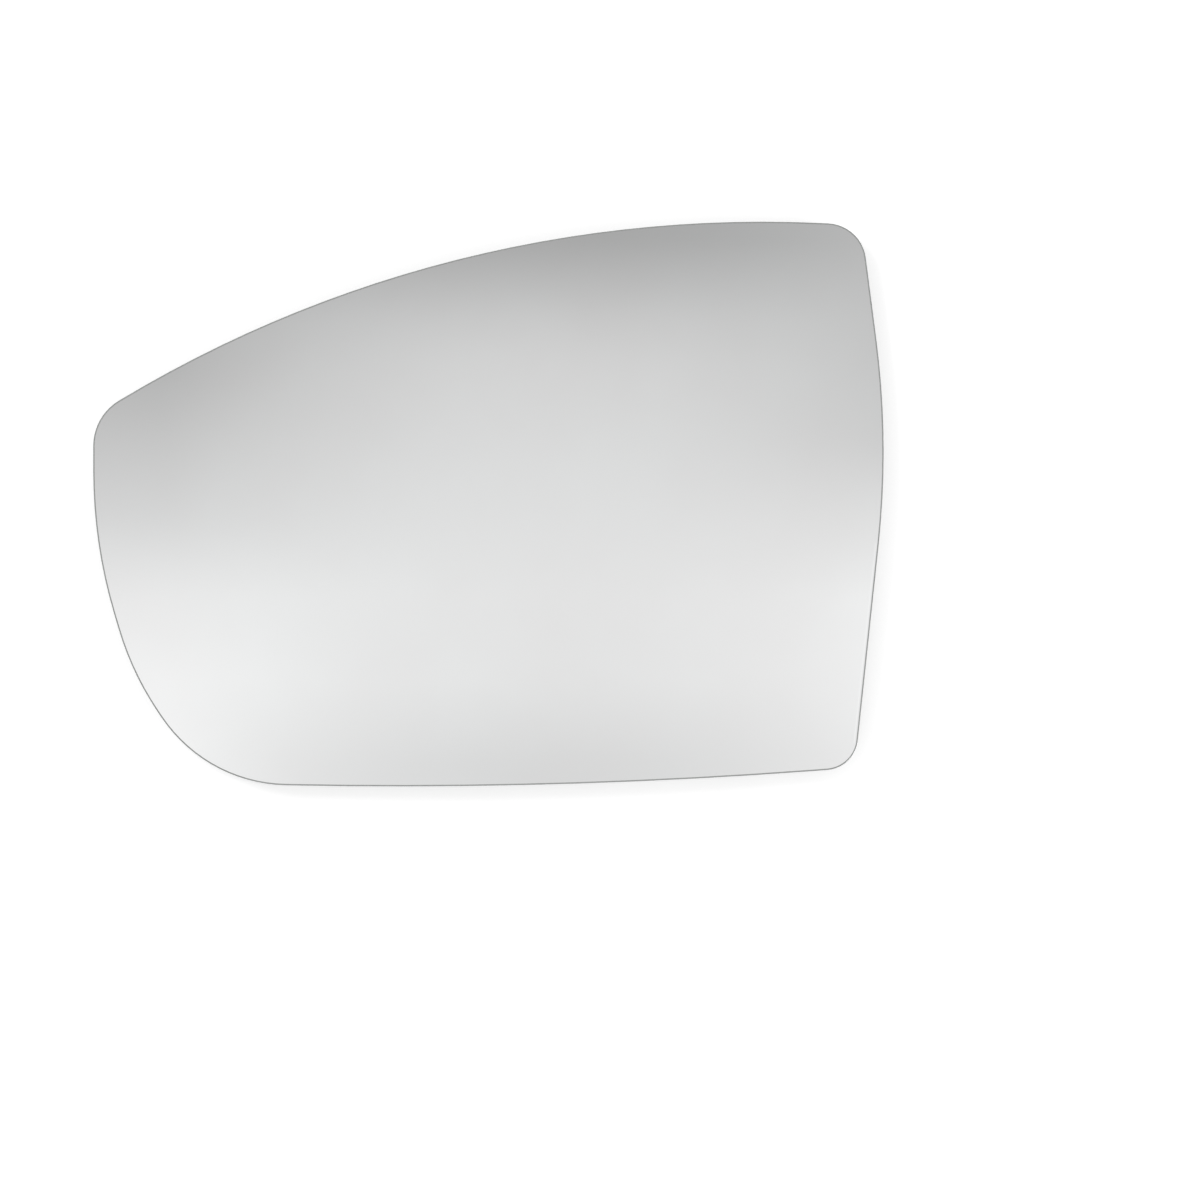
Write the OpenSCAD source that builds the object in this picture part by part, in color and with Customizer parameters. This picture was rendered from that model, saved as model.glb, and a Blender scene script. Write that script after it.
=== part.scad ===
// Heated door mirror glass: a convex mirror bonded to a moulded carrier with a clip ring.
// Z points out of the mirror face. The origin is the centre of the clip ring, on the
// plane of its rear rim, which is also the plane that the part rests on.

/* [Glass face] */
// Radius of the convex mirror face
curve_r = 1300; // [1000:10:2200]
// Thickness of the glass
glass_t = 2; // [1.6:0.1:3]
// From the ring's opening out to the pointed side
margin_out = 54; // [44:0.5:65]
// From the ring's opening in to the straight side
margin_in = 38; // [31:0.5:46]
// From the ring's opening up to the top of the glass
margin_up = 18.6; // [15:0.2:24]
// From the ring's opening down to the bottom of the glass
margin_down = 19.1; // [15:0.2:24]

/* [Glass outline] */
// Height of the pointed corner above the ring's centre
tip_rise = 21; // [14:0.5:28]
// Radius of the pointed corner
tip_r = 12.6; // [6:0.2:15]
// Depth below the ring's centre at which the outer edge turns in
cheek_drop = 9.6; // [6:0.2:12]
// Radius of the outer edge
cheek_r = 120; // [80:1:121]
// Step in from the outer edge to the flank's corner
flank_in = 9.3; // [8:0.1:10.5]
// Height of the flank's corner above the bottom
flank_rise = 27.1; // [25:0.2:29]
// Radius of the flank
flank_r = 72; // [50:1:73]
// Step in from the outer edge to the heel
heel_in = 27.2; // [25.6:0.2:29]
// Height of the heel's corner above the bottom
heel_rise = 0.6; // [0:0.1:2]
// Radius of the heel
heel_r = 37; // [26:0.5:38]
// Place along the bottom where its bow peaks
base_at = 7.2; // [-4:0.2:14]
// Bow of the bottom edge past its rounded form
base_over = 0.9; // [0.6:0.05:1.1]
// Radius of the bottom edge
base_r = 1380; // [900:10:1400]
// Step in from the straight side to the foot's corner
foot_in = 6.7; // [5:0.1:8.5]
// Height of the foot's corner above the bottom
foot_rise = 4.4; // [3:0.1:6]
// Radius of the foot's corner
foot_r = 8; // [4:0.5:10]
// Height of the shoulder on the straight side
shoulder_rise = 14.8; // [11:0.2:19]
// Bow of the straight side past its rounded form
shoulder_over = 1.6; // [1.2:0.05:1.8]
// Radius of the shoulder
shoulder_r = 210; // [120:5:220]
// Step in from the straight side to the top corner
top_in = 5.1; // [4:0.1:6.5]
// Depth of the top corner below the highest point
top_drop = 0.6; // [0.2:0.1:1.6]
// Radius of the top corner
top_corner_r = 9.5; // [5:0.5:11]
// Place along the top where its tangents meet
crown_at = -18.6; // [-22:0.2:-16]
// Bow of the top edge past its rounded form
crown_over = 3.6; // [3:0.1:4]
// Radius of the top edge
crown_r = 303; // [240:1:304]
// Least radius of a rounded corner
least_r = 0.3; // [0.2:0.1:0.5]
// Largest distance between a curved edge and its chords
smooth = 0.02; // [0.01:0.01:0.1]

/* [Heater] */
// Thickness of each sheet of clear adhesive
glue_t = 0.15; // [0.1:0.05:0.4]
// Thickness of the heater's black carrier film
film_t = 0.2; // [0.1:0.05:0.4]
// Thickness of the etched track
track_t = 0.1; // [0.05:0.05:0.2]
// Thickness of the foam tape behind the heater
foam_t = 0.6; // [0.4:0.1:1.2]
// Width of the heating track
track_w = 1.35; // [1:0.05:1.5]
// Distance from one hairpin of the track to the next
loop_pitch = 4.77; // [4.4:0.01:5.5]
// Height of a row of hairpins with its gap
row_h = 26; // [24:0.5:27]
// Height of the shorter rows at the top and the bottom
end_row_h = 16; // [10:0.5:17]
// Gap between two rows
row_gap = 1.6; // [1:0.1:3]
// Shift of the middle hairpin from the ring's centre
loop_shift = -1.7; // [-2.4:0.1:2.4]
// Turn of the heater against the carrier
track_angle = -2.7; // [-4:0.1:4]
// Edge of the film inside the edge of the glass
film_in = 3.2; // [2.8:0.1:6]
// Edge of the track inside the edge of the film
track_edge = 0.8; // [0.5:0.1:1.5]
// Width of the feed strip that runs round the rim
feed_w = 3; // [2:0.1:4]
// Gap between two feed strips
feed_gap = 4; // [2:0.5:6]
// Distance of the upper and lower feed gaps from the ring's centre
feed_split = 30; // [20:1:40]
// Rim of a contact pad round its foot
pad_over = 0.6; // [0.3:0.1:1]

/* [Terminals] */
// Width of a blade
blade_w = 6.3; // [4.8:0.1:6.5]
// Slant at the end of a blade
blade_lead = 1; // [0.5:0.1:1.5]
// Radius of the latch hole in a blade
blade_hole_r = 0.9; // [0.6:0.1:1.2]
// Length of a blade
blade_h = 7.6; // [6:0.1:8]
// Thickness of the blade's sheet metal
blade_t = 0.8; // [0.5:0.1:1]
// Size of a riveted foot along and across
foot_w = 8; // [7.5:0.1:9]
// Gap between a foot and the ring's wall
foot_gap = 8; // [6:0.5:10]
// Half the distance between the two feet
foot_apart = 8; // [6.5:0.1:9]
// Radius of a rivet's shank
rivet_r = 0.9; // [0.7:0.05:1]
// Radius of a rivet's head
rivet_head_r = 1.7; // [1.4:0.1:1.8]
// Thickness of a rivet's head
rivet_head_t = 0.5; // [0.3:0.05:0.8]
// Rivets set in from the middle of a foot
rivet_in = 0.6; // [0.4:0.1:1]
// Gap round a shank in its hole
rivet_gap = 0.05; // [0.03:0.01:0.1]

/* [Carrier plate] */
// Thickness of the moulded plate
plate_t = 2; // [1.6:0.1:3]
// Edge of the plate inside the edge of the glass
plate_in = 0.5; // [0.3:0.1:1]
// Width of the lip that carries the rim of the glass
lip_w = 1.6; // [1.2:0.1:2.2]
// Edge of the foam tape outside the opening
tape_in = 1.2; // [0.6:0.1:2.4]
// Radius of the round opening in the clip ring
ring_r = 49; // [47:0.2:51]
// Wall of the clip ring
ring_wall = 1.2; // [1:0.1:2]
// Height of the clip ring behind the middle of the plate
ring_h = 7; // [6.6:0.1:9]
// Width of the low bead outside the ring
bead_w = 1.3; // [1:0.1:2]
// Height of the low bead behind the plate
bead_h = 1.2; // [0.8:0.1:2]
// Width of the open gap between the ring and the hub in its middle
hub_gap = 23; // [21:0.5:26]
// Width of the two straps that hold the hub
strap_w = 10.6; // [9:0.2:12]
// Radius where a strap flares into the hub
flare_r = 8; // [5:0.5:9]
// Width of the flat rib along the straps
rib_w = 3.2; // [2:0.2:5]
// Height of the rib and of the hub's rim
rib_h = 0.6; // [0.4:0.1:1.2]

/* [Clips] */
// Angle of a wide clip from the strap
wide_angle = 43.3; // [41:0.1:45]
// Width of a wide clip at its hinge
wide_w = 12; // [10:0.2:13]
// Width of a wide clip at its nose
wide_nose_w = 6; // [4:0.2:8]
// Angle of a narrow clip from the strap
narrow_angle = 14.2; // [13.5:0.1:16]
// Width of a narrow clip at its root
narrow_w = 9; // [7:0.2:9.4]
// Width of a narrow clip at its nose
narrow_nose_w = 4; // [3:0.2:5]
// How far the clips reach into the opening
clip_reach = 7.7; // [6:0.1:9]
// Thickness of a clip
clip_t = 1.5; // [1.2:0.1:2]
// Slope of a clip down into the opening
clip_angle = 24; // [15:1:30]
// Rounding of a clip's nose
nose_r = 1.6; // [1:0.1:1.9]
// Height of a clip's hinge in front of the rim
hinge_z = 0.9; // [0.5:0.1:1.5]
// Length of a buttress outside the ring
buttress_l = 6.6; // [4:0.2:9]
// Width of a buttress
buttress_w = 2; // [1.4:0.1:2.6]
// Height of a buttress's outer end behind the plate
buttress_h = 1.4; // [1:0.1:2]
// Depth of a hinge bar and of a stop block inside the rim
hinge_d = 0.6; // [0.4:0.1:1]
// Length of a wide clip's hinge bar past the clip
hinge_over = 0.9; // [0.6:0.1:1.4]
// Radial depth of a narrow clip's riser
riser_d = 2.2; // [1.6:0.1:2.8]
// Height of a narrow clip's step in front of the rim
step_z = 3.8; // [3:0.1:4.2]
// Slope of a narrow clip beyond its step
step_angle = 12; // [6:1:15]
// Angle of a stop block from the strap
stop_angle = 28.7; // [27:0.1:30]
// Length of a stop block along the rim
stop_w = 5; // [3:0.2:5.4]
// Angle of a catch window from the strap
catch_angle = 58.6; // [57:0.1:62]
// Width of a catch window along the rim
catch_w = 3.6; // [3:0.1:4]
// Depth of a catch window into the rim
catch_d = 2.2; // [1.6:0.1:2.6]
// Wall round a catch window
catch_wall = 0.9; // [0.7:0.1:1.2]

/* [Ejector marks] */
// Distance of the first mark from the ring's opening
mark_out = 2.2; // [1:0.1:4]
// Direction of the first mark from the ring's centre
mark_angle = -40.3; // [-42:0.1:-38]
// Step in from the straight side to the second mark
edge_mark_in = 5.3; // [3:0.1:8]
// Height of the second mark above the bottom
edge_mark_rise = 24; // [20:0.5:30]
// Radius of the marks on the plate
mark_r = 3.4; // [2:0.1:4]
// Radius of the mark on each strap
strap_mark_r = 2.8; // [2:0.1:4]
// Distance of the strap's mark inside the ring's opening
strap_mark_in = 13.1; // [11:0.1:14]
// Depth of the marks
mark_d = 0.15; // [0.1:0.05:0.3]

/* [Hidden] */
$fn = 64;

// Depths of the layers behind the mirror face
glue_back = glass_t + glue_t;
film_back = glue_back + film_t;
track_back = film_back + track_t;
foam_back = track_back + foam_t;
plate_back = foam_back + plate_t;
face_z = ring_h + plate_back;
root_depth = foam_back + plate_t / 2;
track_in = film_in + track_edge;

// Places that follow from the ring's opening
reach_out = ring_r + margin_out;
reach_in = ring_r + margin_in;
reach_up = ring_r + margin_up;
reach_down = ring_r + margin_down;
hub_r = ring_r - hub_gap;
strap_mark_out = ring_r - strap_mark_in;
foot_out = ring_r - foot_gap - foot_w / 2;

// Corners of the glass before rounding, anticlockwise: x, y and radius
CORNERS = [
    [-reach_out, tip_rise, tip_r],
    [-reach_out, -cheek_drop, cheek_r],
    [flank_in - reach_out, flank_rise - reach_down, flank_r],
    [heel_in - reach_out, heel_rise - reach_down, heel_r],
    [base_at, -reach_down - base_over, base_r],
    [reach_in - foot_in, foot_rise - reach_down, foot_r],
    [reach_in + shoulder_over, shoulder_rise, shoulder_r],
    [reach_in - top_in, reach_up - top_drop, top_corner_r],
    [crown_at, reach_up + crown_over, crown_r],
];

// Marks of the ejector pins on the plate: one near the ring and one across the straight edge
MARKS = [
    (ring_r + mark_out) * [cos(mark_angle), sin(mark_angle)],
    [reach_in - edge_mark_in, edge_mark_rise - reach_down],
];

function unit(v) = v / norm(v);
function at(list, i) = list[(i + len(list)) % len(list)];
function place(c) = [c.x, c.y];

// Point at distance r inside both sides that meet in p, whose neighbours are a and b
function inside(a, p, b, r) =
    let (u = unit(a - p), v = unit(b - p), half = acos(u * v) / 2)
    p + unit(u + v) * r / sin(half);

// Direction of the outward normal of the side from a to b
function facing(a, b) = atan2(a.x - b.x, b.y - a.y);

// The corners of the same outline moved inwards by d
function shrunk(corners, d) = [
    for (i = [0 : len(corners) - 1])
        concat(
            inside(place(at(corners, i - 1)), place(corners[i]), place(at(corners, i + 1)), d),
            max(corners[i].z - d, least_r))
];

// Length of side that an arc of radius r takes up on each side of the corner p
function taken(a, p, b, r) = r / tan(acos(unit(a - p) * unit(b - p)) / 2);

// Radius of each corner, limited where the arcs at both ends of a side would meet
function fitting(corners) =
    let (
        n = len(corners),
        points = [for (c = corners) place(c)],
        spans = [for (i = [0 : n - 1]) taken(at(points, i - 1), points[i], at(points, i + 1), corners[i].z)],
        room = [for (i = [0 : n - 1])
            min(1, norm(at(points, i + 1) - points[i]) / (spans[i] + at(spans, i + 1)))]
    )
    [for (i = [0 : n - 1]) corners[i].z * min(room[i], at(room, i - 1))];

// Points round an outline whose corners are arcs
function rounded(corners) =
    let (radii = fitting(corners))
    [
        for (i = [0 : len(corners) - 1])
            let (
                a = place(at(corners, i - 1)),
                p = place(corners[i]),
                b = place(at(corners, i + 1)),
                r = radii[i],
                c = inside(a, p, b, r),
                start = facing(a, p),
                turn = (facing(p, b) - start + 720) % 360,
                steps = max(1, ceil(turn / (2 * acos(1 - smooth / r))))
            )
            for (s = [0 : steps])
                c + r * [cos(start + turn * s / steps), sin(start + turn * s / steps)]
    ];

function glass_outline(inset) = rounded(shrunk(CORNERS, inset));

// Height of a layer of the given depth behind the mirror face
function height_at(x, y, depth) = face_z - curve_r + sqrt(pow(curve_r - depth, 2) - x * x - y * y);

module dome(depth) {
    translate([0, 0, face_z - curve_r]) rotate([90, 0, 0]) sphere(r = curve_r - depth, $fn = 256);
}

// Curved sheet with the flat shape of its children, between two depths
module sheet(near, far) {
    difference() {
        intersection() {
            linear_extrude(2 * face_z) children();
            dome(near);
        }
        dome(far);
    }
}

module mirror_glass() {
    color([0.78, 0.8, 0.82]) sheet(0, glass_t) polygon(glass_outline(0));
}

module film_shape() {
    polygon(glass_outline(film_in));
}

module rivet_places() {
    for (side = [-1, 1], step = [-1, 1])
        rotate(track_angle) translate([rivet_in - foot_out, side * foot_apart + step * foot_w / 4]) children();
}

module glass_adhesive() {
    color([0.2, 0.2, 0.22]) sheet(glass_t, glue_back) film_shape();
}

module heater_film() {
    color([0.04, 0.04, 0.06]) sheet(glue_back, film_back) difference() {
        film_shape();
        rivet_places() circle(rivet_r + rivet_gap);
    }
}

function turned(p, angle) = [p.x * cos(angle) - p.y * sin(angle), p.x * sin(angle) + p.y * cos(angle)];

// Places where a closed outline crosses the height y
function crossings(ring, y) = [
    for (i = [0 : len(ring) - 1])
        let (a = ring[i], b = at(ring, i + 1))
        if ((a.y > y) != (b.y > y)) a.x + (b.x - a.x) * (y - a.y) / (b.y - a.y)
];

// Outline of a winding track: hairpins that close at the height low, joined at high
function winding(first, pairs, low, high) =
    let (
        leg = loop_pitch / 2,
        side = sign(high - low) * track_w,
        left = function (i) first + i * leg - track_w / 2,
        right = function (i) first + i * leg + track_w / 2
    )
    concat(
        [for (k = [0 : pairs - 1]) each concat(
            [[left(2 * k), low], [right(2 * k + 1), low]],
            k < pairs - 1 ? [[right(2 * k + 1), high - side], [left(2 * k + 2), high - side]] : [])],
        [[right(2 * pairs - 1), high]],
        [for (k = [pairs - 1 : -1 : 0]) each [
            [left(2 * k + 1), high], [left(2 * k + 1), low + side],
            [right(2 * k), low + side], [right(2 * k), high]]],
        [[left(0), high]]
    );

// One row of hairpins with its two leads out to the feed strips
module track_row(low, high, from) {
    field = [for (p = glass_outline(track_in + feed_w + track_w)) turned(p, -track_angle)];
    least = max(from, min(crossings(field, low)), min(crossings(field, high)));
    most = min(max(crossings(field, low)), max(crossings(field, high)));
    start = loop_shift - loop_pitch / 4;
    first = start + loop_pitch * ceil((least - start) / loop_pitch);
    pairs = floor((most - first) / loop_pitch);
    lead_y = high > low ? high - track_w : high;
    polygon(winding(first, pairs, low, high));
    translate([-reach_out, lead_y]) square([reach_out + first, track_w]);
    translate([first + (pairs - 0.5) * loop_pitch, lead_y]) square([reach_out, track_w]);
}

module track_rows() {
    base = -1.5 * row_h;
    track_row(base - row_gap / 2, base - end_row_h, -reach_out);
    for (k = [0 : 2])
        track_row(base + k * row_h + row_gap / 2, base + (k + 1) * row_h - row_gap / 2,
                  k == 1 ? foot_w / 2 + track_w - foot_out : -reach_out);
    track_row(base + 3 * row_h + row_gap / 2, base + 3 * row_h + end_row_h, -reach_out);
}

// Pads under the two feet and their leads to the feed strips
module track_pads() {
    for (side = [-1, 1]) {
        translate([-foot_out, side * foot_apart]) square(foot_w + 2 * pad_over, center = true);
        translate([-reach_out, side * foot_apart - feed_w / 2]) square([reach_out - foot_out, feed_w]);
    }
}

// Feed strips round the rim: two on the pointed side and one on the straight side
module feed_strips() {
    difference() {
        sheet(film_back, track_back) difference() {
            polygon(glass_outline(track_in));
            polygon(glass_outline(track_in + feed_w));
        }
        translate([feed_split - feed_gap / 2, -reach_down, 0]) cube([feed_gap, reach_down + reach_up, face_z]);
        translate([-reach_out, -feed_gap / 2, 0]) cube([reach_out, feed_gap, face_z]);
    }
}

module heater_track() {
    color([0.86, 0.87, 0.87]) {
        feed_strips();
        sheet(film_back, track_back) difference() {
            intersection() {
                polygon(glass_outline(track_in + feed_w / 2));
                rotate(track_angle) {
                    track_rows();
                    track_pads();
                }
            }
            rivet_places() circle(rivet_r + rivet_gap);
        }
    }
}

module foam_tape() {
    color([0.12, 0.12, 0.13]) sheet(track_back, foam_back) difference() {
        film_shape();
        circle(ring_r + tape_in);
    }
}

// A blade that stands on a foot riveted to the heater
module terminal(side) {
    root_z = height_at(foot_out + foot_w / 2, foot_apart, track_back + blade_t / 2);
    end_z = root_z - blade_t / 2 - blade_h;
    color([0.8, 0.68, 0.42]) {
        sheet(track_back, track_back + blade_t) difference() {
            rotate(track_angle) translate([-foot_out, side * foot_apart]) square(foot_w, center = true);
            rivet_places() circle(rivet_r + rivet_gap);
        }
        rotate(track_angle) translate([-foot_out - foot_w / 2, side * foot_apart, 0])
            rotate([90, 0, 90]) linear_extrude(blade_t) difference() {
                polygon([
                    [-blade_w / 2, root_z], [-blade_w / 2, end_z + blade_lead],
                    [blade_lead - blade_w / 2, end_z], [blade_w / 2 - blade_lead, end_z],
                    [blade_w / 2, end_z + blade_lead], [blade_w / 2, root_z]]);
                translate([0, end_z + blade_h / 2]) circle(blade_hole_r);
            }
    }
}

module terminal_upper() {
    terminal(1);
}

module terminal_lower() {
    terminal(-1);
}

module terminal_rivets() {
    foot_back = track_back + blade_t;
    color([0.7, 0.7, 0.72]) {
        sheet(glue_back, foot_back + rivet_head_t / 2) rivet_places() circle(rivet_r);
        sheet(foot_back, foot_back + rivet_head_t) rivet_places() circle(rivet_head_r);
    }
}

// Hub, straps and the flares between them
module web_shape() {
    flare_x = strap_w / 2 + flare_r;
    flare_y = sqrt(pow(hub_r + flare_r, 2) - flare_x * flare_x);
    circle(hub_r, $fn = 96);
    translate([-strap_w / 2, -ring_r - ring_wall / 2]) square([strap_w, 2 * ring_r + ring_wall]);
    for (sx = [-1, 1], sy = [-1, 1])
        difference() {
            polygon([[0, 0], [0, sy * flare_y], [sx * flare_x, sy * flare_y]]);
            translate([sx * flare_x, sy * flare_y]) circle(flare_r);
        }
}

module annulus(inner, width) {
    difference() {
        circle(inner + width, $fn = 128);
        circle(inner, $fn = 128);
    }
}

// Solid from the height z up into the plate, with the flat shape of its children
module rooted(z) {
    intersection() {
        translate([0, 0, z]) linear_extrude(face_z) children();
        dome(root_depth);
    }
}

// The four places round the ring at an angle from the straps
module around(angle) {
    for (half = [0, 180], side = [0, 1])
        rotate(half) mirror([side, 0, 0]) rotate(angle - 90) children();
}

// Clip tongue that slopes in from its hinge at x = 0, with a rounded nose
module tongue(root_w, nose_w, nose_shift, reach, slope) {
    tip = -reach / cos(slope);
    rotate([0, slope, 0]) linear_extrude(clip_t)
        polygon(rounded([
            [0, -root_w / 2, least_r], [0, root_w / 2, least_r],
            [tip, nose_shift + nose_w / 2, nose_r], [tip, nose_shift - nose_w / 2, nose_r]]));
}

// Buttress outside the ring, highest where it meets the wall
module buttress() {
    out = ring_r + buttress_l - buttress_w / 2;
    top_z = height_at(out, 0, plate_back) - buttress_h;
    rise = atan2(top_z - hinge_z, buttress_l - ring_wall);
    difference() {
        rooted(0) {
            translate([ring_r, -buttress_w / 2]) square([out - ring_r, buttress_w]);
            translate([out, 0]) circle(buttress_w / 2);
        }
        translate([ring_r + ring_wall, 0, hinge_z]) rotate([0, -rise, 0])
            translate([-buttress_l, -buttress_w, -2 * ring_h]) cube([3 * buttress_l, 2 * buttress_w, 2 * ring_h]);
    }
}

// Wide clip: a straight hinge bar across the wall, its tongue and a buttress at each end
module wide_clip() {
    bar_l = wide_w + 2 * hinge_over;
    rooted(0) translate([ring_r - hinge_d, -bar_l / 2]) square([ring_wall, bar_l]);
    translate([ring_r - hinge_d / 2, 0, hinge_z])
        tongue(wide_w, wide_nose_w, 0, clip_reach, clip_angle);
    for (side = [-1, 1]) rotate(side * atan2(bar_l / 2, ring_r)) buttress();
}

// Narrow clip: a sloping riser and a flatter tongue whose inner edge runs along the strap
module narrow_clip() {
    foot_z = step_z + clip_t;
    rotate([90, 0, 0]) translate([0, 0, -narrow_w / 2]) linear_extrude(narrow_w)
        polygon([
            [ring_r + ring_wall / 2, hinge_z], [ring_r, hinge_z],
            [ring_r - riser_d, step_z], [ring_r - riser_d, foot_z], [ring_r + ring_wall / 2, foot_z]]);
    reach = clip_reach - riser_d;
    lean = (narrow_nose_w - narrow_w) / 2 + clip_reach * tan(narrow_angle);
    translate([ring_r - riser_d + nose_r / 2, 0, step_z])
        tongue(narrow_w, narrow_nose_w, lean, reach + nose_r / 2, step_angle);
}

// Block on the rim that stops the mating ring
module stop_block() {
    rooted(hinge_z) translate([ring_r - hinge_d, -stop_w / 2])
        square([2 * hinge_d + ring_wall, stop_w]);
}

// Block that stands round a catch window
module catch_block() {
    rooted(hinge_z) translate([ring_r, -catch_w / 2 - catch_wall])
        square([catch_d + catch_wall, catch_w + 2 * catch_wall]);
}

module catch_window() {
    translate([ring_r - 2 * hinge_d, -catch_w / 2, -ring_h]) cube([2 * hinge_d + catch_d, catch_w, 2 * face_z]);
}

module moulded_ring() {
    rooted(0) annulus(ring_r, ring_wall);
    rooted(height_at(ring_r, 0, plate_back) - bead_h) annulus(ring_r + ring_wall / 2, ring_wall / 2 + bead_w);
    around(wide_angle) wide_clip();
    around(narrow_angle) narrow_clip();
    around(stop_angle) stop_block();
    around(catch_angle) catch_block();
}

// Low rim of the hub, and ribs that run out from it to the marks on the straps
module moulded_web() {
    rib_end = strap_mark_out - strap_mark_r;
    sheet(root_depth, plate_back + rib_h) {
        annulus(hub_r - rib_w / 2, rib_w / 2);
        for (half = [0, 180])
            rotate(half) translate([-rib_w / 2, hub_r - rib_w / 2]) square([rib_w, rib_end - hub_r + rib_w / 2]);
    }
}

module ejector_marks() {
    sheet(plate_back - mark_d, plate_back + mark_d) {
        for (m = MARKS) translate(m) circle(mark_r);
        for (half = [0, 180]) rotate(half) translate([0, strap_mark_out]) circle(strap_mark_r);
    }
}

module backing_plate() {
    color([0.2, 0.2, 0.2]) difference() {
        union() {
            sheet(foam_back, plate_back) difference() {
                polygon(glass_outline(plate_in));
                difference() {
                    circle(ring_r, $fn = 128);
                    web_shape();
                }
            }
            sheet(glass_t, root_depth) difference() {
                polygon(glass_outline(plate_in));
                polygon(glass_outline(plate_in + lip_w));
            }
            moulded_ring();
            moulded_web();
        }
        around(catch_angle) catch_window();
        ejector_marks();
    }
}

mirror_glass();
glass_adhesive();
heater_film();
heater_track();
foam_tape();
backing_plate();
terminal_upper();
terminal_lower();
terminal_rivets();
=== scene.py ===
# %% [markdown]
# A heated door mirror glass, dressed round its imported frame.
# The part is a convex mirror glued to an etched foil heater and a moulded carrier with a clip
# ring. This lesson starts from the frame, which holds every solid at its real size, and gives
# each piece its own mesh and finish. The frame's meshes are coarse triangles cut for checking
# fits, and a mirror shows every one of them, so the visible pieces are modelled again from
# the frame's own outlines and keep its places.

# %% Load the frame and keep its size
import math

import bmesh
import bpy
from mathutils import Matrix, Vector


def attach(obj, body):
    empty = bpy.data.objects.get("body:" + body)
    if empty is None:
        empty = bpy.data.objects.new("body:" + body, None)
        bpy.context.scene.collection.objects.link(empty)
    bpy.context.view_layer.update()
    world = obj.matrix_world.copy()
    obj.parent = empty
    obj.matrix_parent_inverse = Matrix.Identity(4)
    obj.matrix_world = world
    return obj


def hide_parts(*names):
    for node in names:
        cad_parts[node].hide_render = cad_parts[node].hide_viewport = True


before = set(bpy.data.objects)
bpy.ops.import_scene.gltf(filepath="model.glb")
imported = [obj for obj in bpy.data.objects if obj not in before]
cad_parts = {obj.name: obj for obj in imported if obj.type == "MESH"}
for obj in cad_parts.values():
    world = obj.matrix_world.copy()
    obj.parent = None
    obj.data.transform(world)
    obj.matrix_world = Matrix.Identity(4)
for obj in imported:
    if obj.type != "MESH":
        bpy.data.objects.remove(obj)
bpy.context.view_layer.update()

# %% [markdown]
# Sizes are written in millimetres, as on a drawing, and turned to metres where a mesh or a
# texture needs them. The mirror's curve is the one size that the frame's boxes don't give, so
# it is measured from the glass: a point near the middle of its front and one at the rim fix a
# sphere whose centre lies on the Z axis.

# %% Sizes in millimetres
MM = 0.001


def mm(value):
    return value * MM


# A face whose normal has at least this share along Z counts as facing the front
FACING = 0.9


def face_sphere():
    """Radius of the mirror's sphere and the height of its top."""
    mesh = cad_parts["mirror_glass"].data
    front = [mesh.vertices[i].co for f in mesh.polygons if f.normal.z > FACING for i in f.vertices]
    near = min(front, key=lambda p: p.xy.length)
    far = max(front, key=lambda p: p.xy.length)
    centre = (near.length_squared - far.length_squared) / (2 * (near.z - far.z))
    radius = math.hypot(near.xy.length, near.z - centre)
    return radius, centre + radius


curve_r, face_z = face_sphere()
print("radius and top of the mirror face in mm:", round(curve_r / MM, 1), round(face_z / MM, 3))

# %% [markdown]
# Every layer behind the face is a sheet between two spheres with the same centre. The depths
# below are those of the layers' backs. One function gives the height of such a sphere over a
# point, and all the layers use it, so that they lie on each other without a gap.

# %% The height of a layer
GLASS_BACK = mm(2)
GLUE_BACK = mm(2.15)
FILM_BACK = mm(2.35)
TRACK_BACK = mm(2.45)
FOAM_BACK = mm(3.05)


def height_at(x, y, depth):
    """Height over (x, y) of the layer that lies a depth behind the mirror's face."""
    return face_z - curve_r + math.sqrt((curve_r - depth) ** 2 - x * x - y * y)


# %% [markdown]
# The camera comes first, because every later choice is judged through it. The picture looks
# straight at the glass from a few paces away. The long lens keeps the sides of the part out of
# sight, as in the photograph, and the aim point puts the glass at the upper left of the frame.

# %% Camera
AIM = (mm(18.96), mm(-23.28))
STAND_OFF = mm(1600)
FIELD = mm(288)

camera_data = bpy.data.cameras.new("camera")
camera_data.sensor_width = 36
camera_data.lens = camera_data.sensor_width * STAND_OFF / FIELD
camera_data.clip_start = mm(50)
camera_data.clip_end = mm(20000)
camera = bpy.data.objects.new("camera", camera_data)
camera.location = (AIM[0], AIM[1], face_z + STAND_OFF)
bpy.context.scene.collection.objects.link(camera)
bpy.context.scene.camera = camera
bpy.context.scene.view_settings.view_transform = "Standard"
print("lens in mm:", round(camera_data.lens, 1))

# %% [markdown]
# Colours are written as the hex values that a colour picker gives, which are sRGB. Blender's
# sockets hold linear light, so one function converts them. Pattern sizes are real sizes too:
# a texture on object coordinates repeats about once per metre at scale 1.

# %% Colour, scale and nodes
def paint(code):
    """Linear colour, with alpha, of an sRGB hex code."""
    channels = [int(code[i:i + 2], 16) / 255 for i in (1, 3, 5)]
    linear = [c / 12.92 if c <= 0.04045 else ((c + 0.055) / 1.055) ** 2.4 for c in channels]
    return (*linear, 1)


def per(size):
    """Texture scale that gives features of a size in millimetres."""
    return 1 / mm(size)


# Places of the colour sockets on a Mix node, which has sockets of every type
MIX_A, MIX_B, MIXED = 6, 7, 2


def fill(tree, node, sockets):
    """Fills a node's sockets with values or links."""
    for name, value in sockets.items():
        if isinstance(value, bpy.types.NodeSocket):
            tree.links.new(value, node.inputs[name])
        else:
            node.inputs[name].default_value = value


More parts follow.
